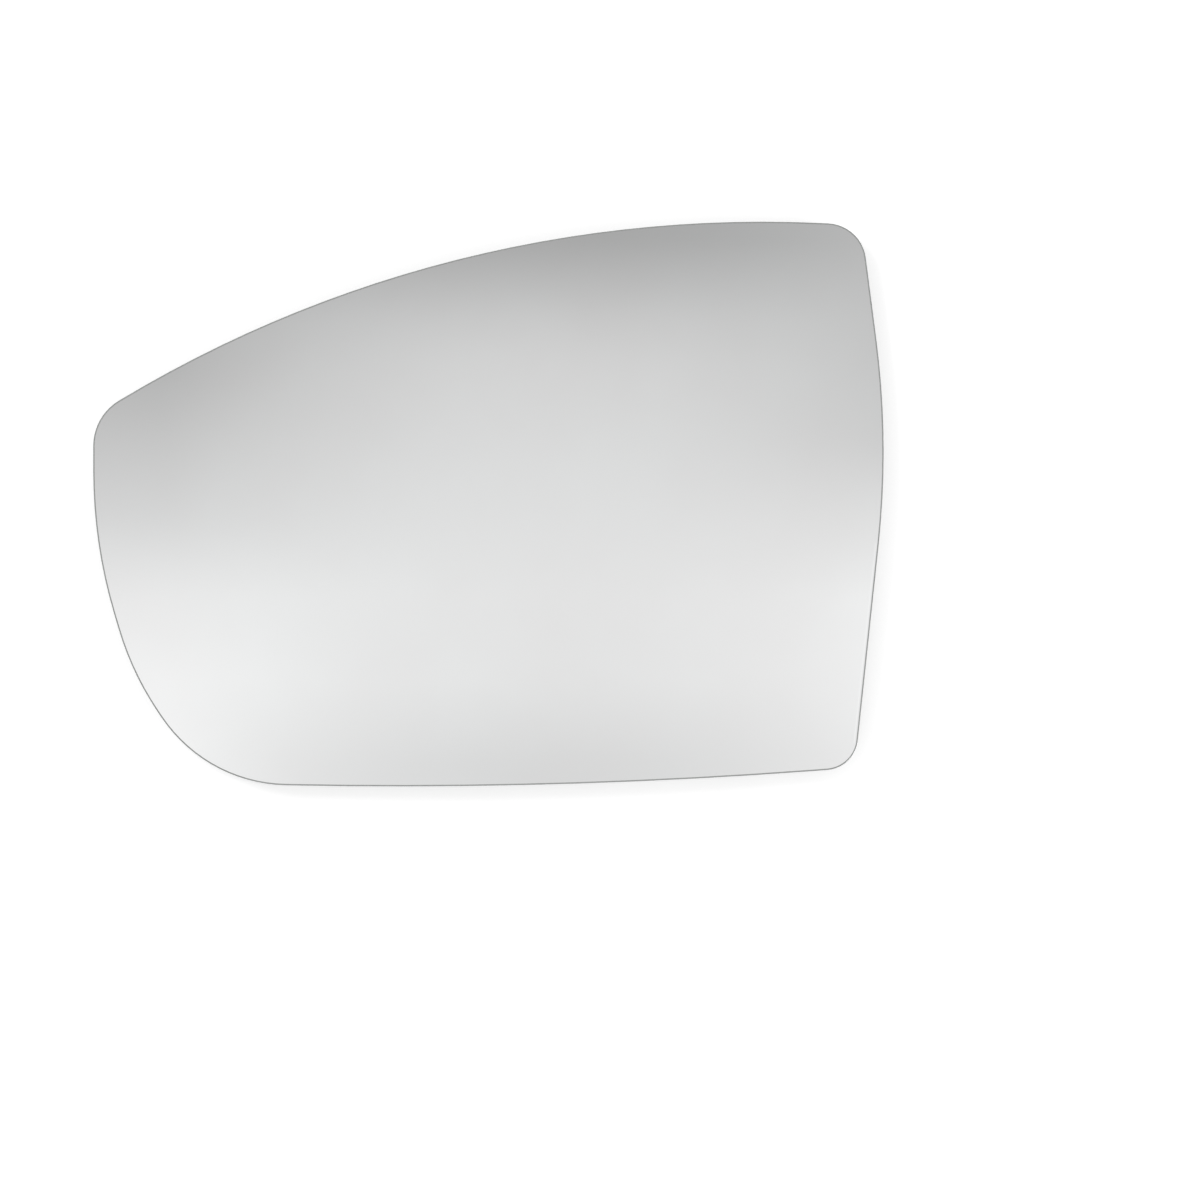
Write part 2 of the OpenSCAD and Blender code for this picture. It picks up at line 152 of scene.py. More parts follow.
def add(tree, kind, sockets, stops=(), **settings):
    """Adds a node with its properties, its sockets and, on a ramp, its stops of (place, hex code)."""
    node = tree.nodes.new(kind)
    for name, value in settings.items():
        setattr(node, name, value)
    fill(tree, node, sockets)
    for k, (place, code) in enumerate(stops):
        elements = node.color_ramp.elements
        stop = elements[k] if k < len(elements) else elements.new(place)
        stop.position = place
        stop.color = paint(code)
    return node


def start_finish(name):
    """New material: itself, its node tree, its shader and the object's own coordinates."""
    material = bpy.data.materials.new(name)
    material.use_nodes = True
    tree = material.node_tree
    place = add(tree, "ShaderNodeTexCoord", {}).outputs["Object"]
    return material, tree, tree.nodes["Principled BSDF"], place


# %% [markdown]
# The mirror is float glass, silvered on its back and bent on a convex former. From the front
# it acts as a metal: nearly all the light comes back, a little cooler than it went in. A faint
# haze of handling makes the reflection less than perfect in broad soft patches.

# %% Finish of the silvered glass
def silvered_glass():
    material, tree, shader, place = start_finish("silvered_float_glass")
    haze = add(tree, "ShaderNodeTexNoise", {"Vector": place, "Scale": per(45), "Detail": 3.0})
    rough = add(tree, "ShaderNodeMapRange", {
        "Value": haze.outputs["Fac"], "From Min": 0.35, "From Max": 0.7, "To Min": 0.03, "To Max": 0.07})
    tint = add(tree, "ShaderNodeValToRGB", {"Fac": haze.outputs["Fac"]}, stops=[
        (0.3, "#f6f7f7"), (0.7, "#f3f3f3")])
    fill(tree, shader, {
        "Base Color": tint.outputs["Color"], "Roughness": rough.outputs["Result"], "Metallic": 1})
    return material


# %% [markdown]
# The rim of the glass is ground with a diamond wheel, which leaves a grey, faintly green band
# that scatters light. Its grit is far too fine to see, so it is drawn a little coarser.

# %% Finish of the ground rim
def ground_rim():
    material, tree, shader, place = start_finish("ground_glass_rim")
    grit = add(tree, "ShaderNodeTexNoise", {"Vector": place, "Scale": per(0.25), "Detail": 2.0})
    bump = add(tree, "ShaderNodeBump", {
        "Height": grit.outputs["Fac"], "Strength": 0.4, "Distance": mm(0.02)})
    tint = add(tree, "ShaderNodeValToRGB", {"Fac": grit.outputs["Fac"]}, stops=[
        (0.3, "#8b8d8c"), (0.7, "#a6a8a6")])
    fill(tree, shader, {
        "Base Color": tint.outputs["Color"], "Normal": bump.outputs["Normal"],
        "Roughness": 0.55, "IOR": 1.45})
    return material


# %% [markdown]
# The carrier is moulded from black ABS in a spark-eroded tool, so its skin has a fine grain.
# Handling and the release from the tool leave broad paler clouds, and specks of dust cling to
# it. The wall of the clip ring and the risers of the narrow clips are formed by a polished
# insert, so they are glossy black; their colour is also painted darker than the plate, as
# painted shade beside the ring. The clips' tongues are a shade paler than the plate. The
# plastic flowed along the two straps, which have long streaks; the straps' sides are painted
# darker as painted shade, so their middles read paler. The zones are told apart by their
# distance from the ring's axis, across it and by their height. The patterns have their own
# sizes: 0.36 mm grain, 26 mm clouds, fine drag lines and specks 9 mm apart.

# %% Finish of the moulded carrier
SPECK_R = mm(0.18)
WALL_FROM = mm(48.4)
RISER_FROM = mm(46.7)
NARROW_WITHIN = mm(18)
WALL_TO = mm(50.4)
WALL_TOP = mm(4.7)
CLIP_TOP = mm(5.5)
STRAP_FROM = mm(27)
STRAP_TO = mm(47.5)
STRAP_WITHIN = mm(6.5)
STRAP_MIDDLE = mm(3.6)
CRISP = mm(0.1)
SOFT = mm(1.6)


def ring_zones(tree, place):
    """Factors of the ring's polished wall, whose colour is also painted shade, of the clips' tongues, and of
    the straps and their sides, which are painted shade.
    """
    part = add(tree, "ShaderNodeSeparateXYZ", {"Vector": place})
    flat = add(tree, "ShaderNodeVectorMath", {0: place, 1: (1, 1, 0)}, operation="MULTIPLY")
    length = add(tree, "ShaderNodeVectorMath", {0: flat.outputs["Vector"]}, operation="LENGTH")
    aside = add(tree, "ShaderNodeMath", {0: part.outputs["X"]}, operation="ABSOLUTE")
    start = add(tree, "ShaderNodeMapRange", {
        "Value": aside.outputs["Value"], "From Min": NARROW_WITHIN - CRISP,
        "From Max": NARROW_WITHIN + CRISP, "To Min": RISER_FROM, "To Max": WALL_FROM})
    radius, height, aside = length.outputs["Value"], part.outputs["Z"], aside.outputs["Value"]
    past = add(tree, "ShaderNodeMath", {0: radius, 1: start.outputs["Result"]}, operation="SUBTRACT")
    past = past.outputs["Value"]
    # The polished wall's mask also carries painted shade: its colour is painted near black.
    polished_shaded_wall = [(past, 0, CRISP, (0, 1)), (radius, WALL_TO, CRISP, (1, 0)), (height, WALL_TOP, CRISP, (1, 0))]
    tongue = [(past, 0, CRISP, (1, 0)), (height, CLIP_TOP, CRISP, (1, 0))]
    strap = [
        (radius, STRAP_FROM, SOFT, (0, 1)), (radius, STRAP_TO, SOFT, (1, 0)),
        (aside, STRAP_WITHIN, SOFT, (1, 0))]
    # The straps' sides outside the middle band are painted darker as painted shade.
    shaded_strap_sides = strap + [(aside, STRAP_MIDDLE, SOFT, (0, 1))]
    factors = []
    for limits in (polished_shaded_wall, tongue, strap, shaded_strap_sides):
        factor = 1
        for value, limit, blend, (below, above) in limits:
            step = add(tree, "ShaderNodeMapRange", {
                "Value": value, "From Min": limit - blend, "From Max": limit + blend,
                "To Min": below, "To Max": above})
            both = add(tree, "ShaderNodeMath", {0: factor, 1: step.outputs["Result"]}, operation="MULTIPLY")
            factor = both.outputs["Value"]
        factors.append(factor)
    return factors


def moulded_abs():
    material, tree, shader, place = start_finish("moulded_black_abs")
    grain = add(tree, "ShaderNodeTexNoise", {"Vector": place, "Scale": per(0.36), "Detail": 4.0})
    clouds = add(tree, "ShaderNodeTexNoise", {
        "Vector": place, "Scale": per(26), "Detail": 7.0, "Roughness": 0.62, "Distortion": 0.5})
    drawn = add(tree, "ShaderNodeMapping", {
        "Vector": place, "Scale": (0.25, 1, 1), "Rotation": (0, 0, 0.5)})
    drag = add(tree, "ShaderNodeTexNoise", {
        "Vector": drawn.outputs["Vector"], "Scale": per(1.6), "Detail": 4.0})
    cloudy = add(tree, "ShaderNodeValToRGB", {"Fac": clouds.outputs["Fac"]}, stops=[
        (0.3, "#1b1c1c"), (0.44, "#2a2b2b"), (0.57, "#404141"), (0.7, "#747575")])
    grainy = add(tree, "ShaderNodeValToRGB", {"Fac": grain.outputs["Fac"]}, stops=[
        (0.36, "#0c0c0c"), (0.5, "#373838"), (0.64, "#868787")])
    dragged = add(tree, "ShaderNodeValToRGB", {"Fac": drag.outputs["Fac"]}, stops=[
        (0.35, "#212222"), (0.5, "#3a3b3b"), (0.66, "#5e5f5f")])
    paler = add(tree, "ShaderNodeMix", {
        "Factor": 0.2, MIX_A: paint("#646565"), MIX_B: grainy.outputs["Color"]}, data_type="RGBA")
    dust = add(tree, "ShaderNodeTexVoronoi", {"Vector": place, "Scale": per(9)})
    speck = add(tree, "ShaderNodeMath", {
        0: dust.outputs["Distance"], 1: SPECK_R * per(9)}, operation="LESS_THAN")
    along = add(tree, "ShaderNodeMapping", {"Vector": place, "Scale": (1, 0.07, 1)})
    flow = add(tree, "ShaderNodeTexNoise", {
        "Vector": along.outputs["Vector"], "Scale": per(1.9), "Detail": 3.0})
    flowed = add(tree, "ShaderNodeValToRGB", {"Fac": flow.outputs["Fac"]}, stops=[
        (0.38, "#101010"), (0.5, "#303030"), (0.62, "#6c6c6c")])
    polished_shaded_wall, tongue, strap, shaded_strap_sides = ring_zones(tree, place)
    colour = cloudy.outputs["Color"]
    layers = [
        (0.16, dragged.outputs["Color"]),
        (strap, flowed.outputs["Color"]),
        # Straps' sides painted dark grey: painted shade of the strap's flanks.
        (shaded_strap_sides, paint("#1d1d1d")),
        (0.26, grainy.outputs["Color"]),
        (speck.outputs["Value"], paint("#b4b5b2")),
        (tongue, paler.outputs[MIXED]),
        # Polished wall and risers painted near black: glossy finish plus painted shade beside the ring.
        (polished_shaded_wall, paint("#171818"))]
    for factor, layer in layers:
        laid = add(tree, "ShaderNodeMix", {
            "Factor": factor, MIX_A: colour, MIX_B: layer}, data_type="RGBA")
        colour = laid.outputs[MIXED]
    rough = add(tree, "ShaderNodeMapRange", {
        "Value": clouds.outputs["Fac"], "From Min": 0.35, "From Max": 0.7, "To Min": 0.42, "To Max": 0.6})
    polish = add(tree, "ShaderNodeMix", {
        "Factor": polished_shaded_wall, "A": rough.outputs["Result"], "B": 0.14}, data_type="FLOAT")
    grained = add(tree, "ShaderNodeMath", {0: 1, 1: polished_shaded_wall}, operation="SUBTRACT")
    bump = add(tree, "ShaderNodeBump", {
        "Height": grain.outputs["Fac"], "Strength": grained.outputs["Value"], "Distance": mm(0.06)})
    fill(tree, shader, {
        "Base Color": colour, "Roughness": polish.outputs["Result"], "Normal": bump.outputs["Normal"],
        "IOR": 1.54})
    return material


# %% [markdown]
# The heater is a black polyester film with a track etched from thin aluminium foil. The film
# keeps a soft gloss, with the slight ripple of a sheet that was pressed on by a roller. The
# foil is dulled by the etching and looks nearly white where light falls on it.

# %% Finishes of the film and its track
def polyester_film():
    material, tree, shader, place = start_finish("black_polyester_film")
    ripple = add(tree, "ShaderNodeTexNoise", {"Vector": place, "Scale": per(9), "Detail": 2.0})
    bump = add(tree, "ShaderNodeBump", {
        "Height": ripple.outputs["Fac"], "Strength": 0.5, "Distance": mm(0.05)})
    tint = add(tree, "ShaderNodeValToRGB", {"Fac": ripple.outputs["Fac"]}, stops=[
        (0.3, "#030306"), (0.7, "#08080d")])
    fill(tree, shader, {
        "Base Color": tint.outputs["Color"], "Normal": bump.outputs["Normal"],
        "Roughness": 0.18, "IOR": 1.38})
    return material


def etched_foil():
    material, tree, shader, place = start_finish("etched_aluminium_foil")
    etch = add(tree, "ShaderNodeTexNoise", {"Vector": place, "Scale": per(0.5), "Detail": 3.0})
    bump = add(tree, "ShaderNodeBump", {
        "Height": etch.outputs["Fac"], "Strength": 0.3, "Distance": mm(0.02)})
    tint = add(tree, "ShaderNodeValToRGB", {"Fac": etch.outputs["Fac"]}, stops=[
        (0.3, "#eeeeed"), (0.7, "#fafaf8")])
    fill(tree, shader, {
        "Base Color": tint.outputs["Color"], "Normal": bump.outputs["Normal"],
        "Metallic": 0.12, "Roughness": 0.5})
    return material


# %% [markdown]
# Two layers show only as lines at an edge: the sheet of acrylic glue behind the glass, and the
# black polyethylene foam that takes up the moulding's tolerances. The foam's cut edge shows its
# cells, about 0.3 mm wide.

# %% Finishes of the glue and the foam
def acrylic_glue():
    material, tree, shader, place = start_finish("acrylic_adhesive")
    flow = add(tree, "ShaderNodeTexNoise", {"Vector": place, "Scale": per(3), "Detail": 2.0})
    tint = add(tree, "ShaderNodeValToRGB", {"Fac": flow.outputs["Fac"]}, stops=[
        (0.3, "#17181b"), (0.7, "#24262a")])
    fill(tree, shader, {"Base Color": tint.outputs["Color"], "Roughness": 0.3})
    return material


def polyethylene_foam():
    material, tree, shader, place = start_finish("black_polyethylene_foam")
    cells = add(tree, "ShaderNodeTexVoronoi", {"Vector": place, "Scale": per(0.3)})
    bump = add(tree, "ShaderNodeBump", {
        "Height": cells.outputs["Distance"], "Strength": 0.8, "Distance": mm(0.1)}, invert=True)
    tint = add(tree, "ShaderNodeValToRGB", {"Fac": cells.outputs["Distance"]}, stops=[
        (0.1, "#121213"), (0.7, "#2a2a2b")])
    fill(tree, shader, {
        "Base Color": tint.outputs["Color"], "Normal": bump.outputs["Normal"],
        "Roughness": 0.9})
    return material


# %% [markdown]
# The blades are stamped from brass strip and tinned, which turns them a warm grey with fine
# rolling lines along the strip. The rivets are soft aluminium, dented by the tool that set
# them.

# %% Finishes of the terminals and rivets
def tinned_brass():
    material, tree, shader, place = start_finish("tinned_brass_strip")
    stretch = add(tree, "ShaderNodeMapping", {"Vector": place, "Scale": (1, 1, 0.05)})
    lines = add(tree, "ShaderNodeTexNoise", {
        "Vector": stretch.outputs["Vector"], "Scale": per(0.15), "Detail": 3.0})
    bump = add(tree, "ShaderNodeBump", {
        "Height": lines.outputs["Fac"], "Strength": 0.3, "Distance": mm(0.02)})
    tint = add(tree, "ShaderNodeValToRGB", {"Fac": lines.outputs["Fac"]}, stops=[
        (0.3, "#b9b3a2"), (0.7, "#d6d1c4")])
    fill(tree, shader, {
        "Base Color": tint.outputs["Color"], "Normal": bump.outputs["Normal"],
        "Metallic": 1, "Roughness": 0.34})
    return material


def set_aluminium():
    material, tree, shader, place = start_finish("set_aluminium_rivet")
    dents = add(tree, "ShaderNodeTexNoise", {"Vector": place, "Scale": per(0.8), "Detail": 2.0})
    bump = add(tree, "ShaderNodeBump", {
        "Height": dents.outputs["Fac"], "Strength": 0.5, "Distance": mm(0.06)})
    tint = add(tree, "ShaderNodeValToRGB", {"Fac": dents.outputs["Fac"]}, stops=[
        (0.3, "#bfc0c1"), (0.7, "#dadbdc")])
    fill(tree, shader, {
        "Base Color": tint.outputs["Color"], "Normal": bump.outputs["Normal"],
        "Metallic": 1, "Roughness": 0.38})
    return material


# %% [markdown]
# Each sheet is drawn again from its own front in the frame. The front's triangles are laid
# flat, where they all lie in one plane, and a limited dissolve takes the lines between them
# away. What is left is the sheet's outline, with any hole in it, in as few faces as it needs.
# The outlines can also be read as rows of corners, to be drawn anew with a band or with arcs.

# %% A sheet's front, laid flat
MERGE = mm(0.001)
STRAIGHT = math.radians(0.1)
SHORT = mm(0.02)


def flat_front(node):
    """Flat mesh with the outline of the front of a sheet."""
    shape = bmesh.new()
    shape.from_mesh(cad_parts[node].data)
    bmesh.ops.remove_doubles(shape, verts=shape.verts, dist=MERGE)
    shape.normal_update()
    rest = [f for f in shape.faces if f.normal.z < FACING]
    bmesh.ops.delete(shape, geom=rest, context="FACES")
    for v in shape.verts:
        v.co.z = 0
    bmesh.ops.dissolve_limit(shape, angle_limit=STRAIGHT, verts=shape.verts, edges=shape.edges)
    return shape


def outlines_of(shape):
    """Corners of each outline of a flat mesh, in order, with the mesh on their left."""
    step = {}
    for e in shape.edges:
        if e.is_boundary:
            corner = e.link_loops[0]
            step[corner.vert] = corner.link_loop_next.vert
    outlines = []
    while step:
        at = next(iter(step))
        places = []
        while at in step:
            if not places or (at.co - places[-1]).length > SHORT:
                places.append(at.co.copy())
            at = step.pop(at)
        outlines.append(places)
    return outlines


# %% [markdown]
# A flat outline becomes a curved sheet in three steps. Cuts along a grid give it points to
# bend at, an extrusion gives it a back, and then each point goes to its own sphere. Between
# two cuts the sheet is straight, so the cell sets how true the curve is: over 4 mm a sphere of
# this radius bends by less than two thousandths of a millimetre.

# %% Cut, thicken and bend a sheet
CLOSE_CUT = mm(0.0001)


def cut_grid(shape, cell):
    """Cuts the faces of a flat mesh whose material is 0 along lines a cell apart, both ways."""
    for axis in (Vector((1, 0, 0)), Vector((0, 1, 0))):
        places = [v.co.dot(axis) for v in shape.verts]
        first = math.ceil(min(places) / cell)
        last = math.floor(max(places) / cell)
        for k in range(first, last + 1):
            faces = [f for f in shape.faces if f.material_index == 0]
            edges = list({e for f in faces for e in f.edges})
            verts = list({v for f in faces for v in f.verts})
            bmesh.ops.bisect_plane(
                shape, geom=verts + edges + faces, dist=CLOSE_CUT,
                plane_co=axis * k * cell, plane_no=axis)


def face_outwards(shape):
    """Turns all faces outwards. A thin shell's volume shows whether they came out inwards."""
    bmesh.ops.recalc_face_normals(shape, faces=shape.faces)
    if shape.calc_volume(signed=True) < 0:
        bmesh.ops.reverse_faces(shape, faces=shape.faces)
    shape.normal_update()


def thicken(shape, near, far):
    """Gives a flat mesh a back, and bends front and back to their depths behind the face."""
    fronts = shape.verts[:]
    grown = bmesh.ops.extrude_face_region(shape, geom=shape.faces[:], use_keep_orig=True)
    backs = [e for e in grown["geom"] if isinstance(e, bmesh.types.BMVert)]
    for verts, depth in ((fronts, near), (backs, far)):
        for v in verts:
            v.co.z = height_at(v.co.x, v.co.y, depth)
    face_outwards(shape)


SHARP = math.radians(60)
SMOOTH = math.radians(32)


def rims(shape, least=SHARP):
    """Edges where two faces meet at more than an angle."""
    return [e for e in shape.edges if e.is_manifold and e.calc_face_angle() > least]


def make_piece(name, shape, nodes, slot, *materials):
    """Object from a mesh, smooth up to an angle, riding on the part in place of its nodes."""
    for f in shape.faces:
        f.smooth = True
    for e in shape.edges:
        e.smooth = not e.is_manifold or e.calc_face_angle() < SMOOTH
    mesh = bpy.data.meshes.new(name)
    shape.to_mesh(mesh)
    shape.free()
    for material in materials:
        mesh.materials.append(material)
    piece = bpy.data.objects.new(name, mesh)
    bpy.context.scene.collection.objects.link(piece)
    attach(piece, "root")
    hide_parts(*nodes)
    size = [round(d / MM, 2) for d in piece.dimensions]
    print(name, "mm:", size, "faces:", len(mesh.polygons))
    return piece


# %% [markdown]
# The mirror gets a ground rim. A band of clean faces is drawn along the outline, which the
# grid leaves whole, and the sharp edges beside it are bevelled by 0.35 mm in three steps, which
# are matt. The face itself must reflect like a true sphere. Smooth shading averages the faces
# round a point, which bends the reflection near the rim, so the face gets the sphere's own
# normals instead.

# %% Mirror glass
RIM = mm(0.35)
BAND = mm(1)
MIRROR_CELL = mm(4)
SILVERED = math.cos(math.radians(8))
ON_FACE = mm(0.002)


def banded(shape, width):
    """Face inside a band of even width, whose quads have material 1."""
    outer = outlines_of(shape)[0]
    inner = []
    for k, place in enumerate(outer):
        before = (place - outer[k - 1]).normalized()
        after = (outer[(k + 1) % len(outer)] - place).normalized()
        inwards = Vector((-before.y, before.x, 0)), Vector((-after.y, after.x, 0))
        mitre = (inwards[0] + inwards[1]).normalized()
        inner.append(place + mitre * width / mitre.dot(inwards[0]))
    made = bmesh.new()
    outer = [made.verts.new(place) for place in outer]
    inner = [made.verts.new(place) for place in inner]
    made.faces.new(inner)
    for k in range(len(outer)):
        band = made.faces.new((outer[k - 1], outer[k], inner[k], inner[k - 1]))
        band.material_index = 1
    shape.free()
    made.normal_update()
    return made


def mirror():
    shape = banded(flat_front("mirror_glass"), BAND)
    cut_grid(shape, MIRROR_CELL)
    thicken(shape, 0, GLASS_BACK)
    bmesh.ops.bevel(
        shape, geom=rims(shape), offset=RIM, segments=3, profile=0.5, affect="EDGES", material=-1)
    face_outwards(shape)
    for f in shape.faces:
        f.material_index = 0 if f.normal.z > SILVERED else 1
    piece = make_piece(
        "silvered_mirror", shape, ["mirror_glass"], "mirror_glass", silvered_glass(), ground_rim())
    mesh = piece.data
    centre = Vector((0, 0, face_z - curve_r))
    on_face = [abs((v.co - centre).length - curve_r) < ON_FACE for v in mesh.vertices]
    normals = [corner.vector.copy() for corner in mesh.corner_normals]
    for face in mesh.polygons:
        if all(on_face[v] for v in face.vertices):
            for corner in face.loop_indices:
                normals[corner] = (mesh.vertices[mesh.loops[corner].vertex_index].co - centre).normalized()
    mesh.normals_split_custom_set(normals)
    return piece


mirror()

# %% [markdown]
# The glue, the film and the foam are the same kind of sheet, with square edges. Only the film
# shows a wide surface, in the ring's opening, so it is cut nearly as finely as the mirror.

# %% Glue, film and foam
FILM_CELL = mm(5)
WIDE_CELL = mm(12)


def soft_sheet(node, near, far, cell, name, slot, material):
    """Curved sheet between two depths, cut into cells, in place of a node."""
    shape = flat_front(node)
    bmesh.ops.triangulate(shape, faces=shape.faces)
    cut_grid(shape, cell)
    thicken(shape, near, far)
    return make_piece(name, shape, [node], slot, material)


soft_sheet("glass_adhesive", GLASS_BACK, GLUE_BACK, WIDE_CELL, "adhesive_sheet", "adhesive", acrylic_glue())
soft_sheet("heater_film", GLUE_BACK, FILM_BACK, FILM_CELL, "heater_sheet", "heater_film", polyester_film())
soft_sheet("foam_tape", TRACK_BACK, FOAM_BACK, WIDE_CELL, "foam_sheet", "foam", polyethylene_foam())

# %% [markdown]
# The etched track turns back on itself hundreds of times. The artwork for the etching rounds
# each outer corner, while the inner ones stay nearly square. The frame's track has square
# corners, so its outline is drawn anew with an arc at each of them, wide where the metal is on
# the inside of the turn and narrow where it is on the outside, and filled again. An arc never
# takes more than half of a side, so that two of them can meet but never cross.

# %% Heating track
OUTER_R = mm(0.65)
INNER_R = mm(0.15)
CORNER = math.radians(40)
SIDE_SHARE = 0.49
ARC_STEPS = 4


def with_arcs(places):
    """The same outline with an arc in place of each sharp corner."""
    drawn = []
    for k, place in enumerate(places):
        before = place - places[k - 1]
        after = places[(k + 1) % len(places)] - place
        turn = math.atan2(before.cross(after).z, before.dot(after))
        if abs(turn) < CORNER:
            drawn.append(place)
            continue
        taper = math.tan(abs(turn) / 2)
        room = SIDE_SHARE * min(before.length, after.length) / taper
        radius = min(OUTER_R if turn > 0 else INNER_R, room)
        before.normalize()
        after.normalize()
        sideways = Vector((-before.y, before.x, 0)) * math.copysign(1, turn)
        start = place - before * radius * taper
        for step in range(ARC_STEPS + 1):
            angle = abs(turn) * step / ARC_STEPS
            drawn.append(start + (before * math.sin(angle) + sideways * (1 - math.cos(angle))) * radius)
    return drawn


def track():
    square = flat_front("heater_track")
    outlines = [with_arcs(places) for places in outlines_of(square)]
    square.free()
    shape = bmesh.new()
    for places in outlines:
        verts = [shape.verts.new(place) for place in places]
        for k in range(len(verts)):
            shape.edges.new((verts[k - 1], verts[k]))
    bmesh.ops.triangle_fill(shape, use_beauty=True, edges=shape.edges[:], normal=(0, 0, 1))
    shape.normal_update()
    area = sum(f.calc_area() for f in shape.faces)
    print("track outlines:", len(outlines), "area in mm2:", round(area / MM ** 2, 1))
    cut_grid(shape, WIDE_CELL)
    thicken(shape, FILM_BACK, TRACK_BACK)
    return make_piece("etched_track", shape, ["heater_track"], "heater_track", etched_foil())


track()

# %% [markdown]
# The carrier, the terminals and the rivets have forms that the frame already draws in full.
# Each is copied, its loose triangles are joined at their corners, flat fields are dissolved to
# single faces and specks of edges are dropped. A narrow bevel then breaks the sharp edges, as
# the radius of a mould or the roll-over of a press tool does. An edge beside a face that is too
# narrow for it, such as the wall of an ejector mark, stays sharp. The carrier is rounder at the
# rear edge of its outline and at the rim of the clip ring.

# %% Copies with broken edges
OUTLINE_FROM = mm(64)
WALL_LEAST = mm(1)
STEEP = 0.3
RIM_PLANE = mm(0.05)
SPECK = mm(0.05)
ROOM = 2.2
OUTLINE_EDGE = mm(0.5)
RIM_EDGE = mm(0.25)
MOULDED_EDGE = mm(0.14)
PRESSED_EDGE = mm(0.12)
RIVET_EDGE = mm(0.1)


def rear_edges(shape):
    """The rear edge of the carrier's outline, and the edges of the ring's rim."""
    def is_wall(face):
        heights = [v.co.z for v in face.verts]
        outside = all(v.co.xy.length > OUTLINE_FROM for v in face.verts)
        return outside and abs(face.normal.z) < STEEP and max(heights) - min(heights) > WALL_LEAST

    def is_rim(face):
        return face.normal.z < -FACING and all(v.co.z < RIM_PLANE for v in face.verts)

    outline, rim = [], []
    for e in rims(shape):
        pair = e.link_faces
        if any(is_rim(f) for f in pair):
            rim.append(e)
        elif any(is_wall(f) for f in pair) and any(f.normal.z < -FACING for f in pair):
            outline.append(e)
    return outline, rim


def break_edges(shape, edges, width):
    """Rounds edges in three steps. Only edges with room are given, so nothing needs clamping."""
    bmesh.ops.bevel(
        shape, geom=edges, offset=width, segments=3, profile=0.5, affect="EDGES", material=-1,
        clamp_overlap=False)
    face_outwards(shape)


def broken_copy(node, name, slot, material, width, rounded=()):
    """Copy of a node with broken edges, and with the outline and the rim rounded to two radii."""
    shape = bmesh.new()
    shape.from_mesh(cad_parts[node].data)
    bmesh.ops.remove_doubles(shape, verts=shape.verts, dist=MERGE)
    bmesh.ops.dissolve_limit(shape, angle_limit=STRAIGHT, verts=shape.verts, edges=shape.edges)
    bmesh.ops.dissolve_degenerate(shape, dist=SPECK, edges=shape.edges)
    bmesh.ops.dissolve_limit(shape, angle_limit=STRAIGHT, verts=shape.verts, edges=shape.edges)
    face_outwards(shape)
    if rounded:
        for edges, radius in zip(rear_edges(shape), rounded):
            break_edges(shape, edges, radius)
    roomy = [
        e for e in rims(shape, SMOOTH)
        if min(f.calc_area() for f in e.link_faces) > ROOM * width * e.calc_length()]
    print(name, "edges broken:", len(roomy))
    break_edges(shape, roomy, width)
    piece = make_piece(name, shape, [node], slot, material)
    even = piece.modifiers.new("even_shading", "WEIGHTED_NORMAL")
    even.keep_sharp = True
    return piece


tin = tinned_brass()
broken_copy(
    "backing_plate", "moulded_carrier", "carrier_plastic", moulded_abs(), MOULDED_EDGE,
    (OUTLINE_EDGE, RIM_EDGE))
for level in ("upper", "lower"):
    broken_copy("terminal_" + level, "blade_terminal_" + level, "terminal_brass", tin, PRESSED_EDGE)
broken_copy("terminal_rivets", "set_rivets", "rivet", set_aluminium(), RIVET_EDGE)

# %% [markdown]
# A mirror is only as good as what it reflects. The part lies face up, so its face sees the
# sky of the studio: a grey ceiling above the top of the glass that brightens to a pale wall
# below it, and more strongly at the sides. The world shades glossy rays by their direction,
# with one ramp for the middle and one for each side. Under the horizon it has a dark band
# beside a bright one, which draws the edges of the black plastic. The camera sees plain white,
# and all other light is white, weaker from below than from above.

# %% Studio world
LEFT = [(0.13, "#fefefe"), (0.27, "#fdfdfd"), (0.4, "#f4f4f4"), (0.52, "#dedede"),
        (0.64, "#cecece"), (0.76, "#b9b9b9"), (0.88, "#b3b3b3"), (0.95, "#b1b1b1")]
MIDDLE = [(0.14, "#e0e0e0"), (0.27, "#ededed"), (0.4, "#eeeeee"), (0.52, "#e8e8e8"),
          (0.64, "#e2e2e2"), (0.76, "#dcdcdc"), (0.82, "#d3d3d3"), (0.95, "#adadad")]
RIGHT = [(0.13, "#fbfbfb"), (0.27, "#fefefe"), (0.4, "#fbfbfb"), (0.52, "#eaeaea"),
         (0.64, "#d2d2d2"), (0.76, "#c9c9c9"), (0.88, "#c9c9c9"), (0.95, "#c5c5c5")]
SPAN_Y = 0.17
SPAN_X = 0.2
NEAR_ZENITH = (0.24, 0.5)
LEAST_UP = 0.05


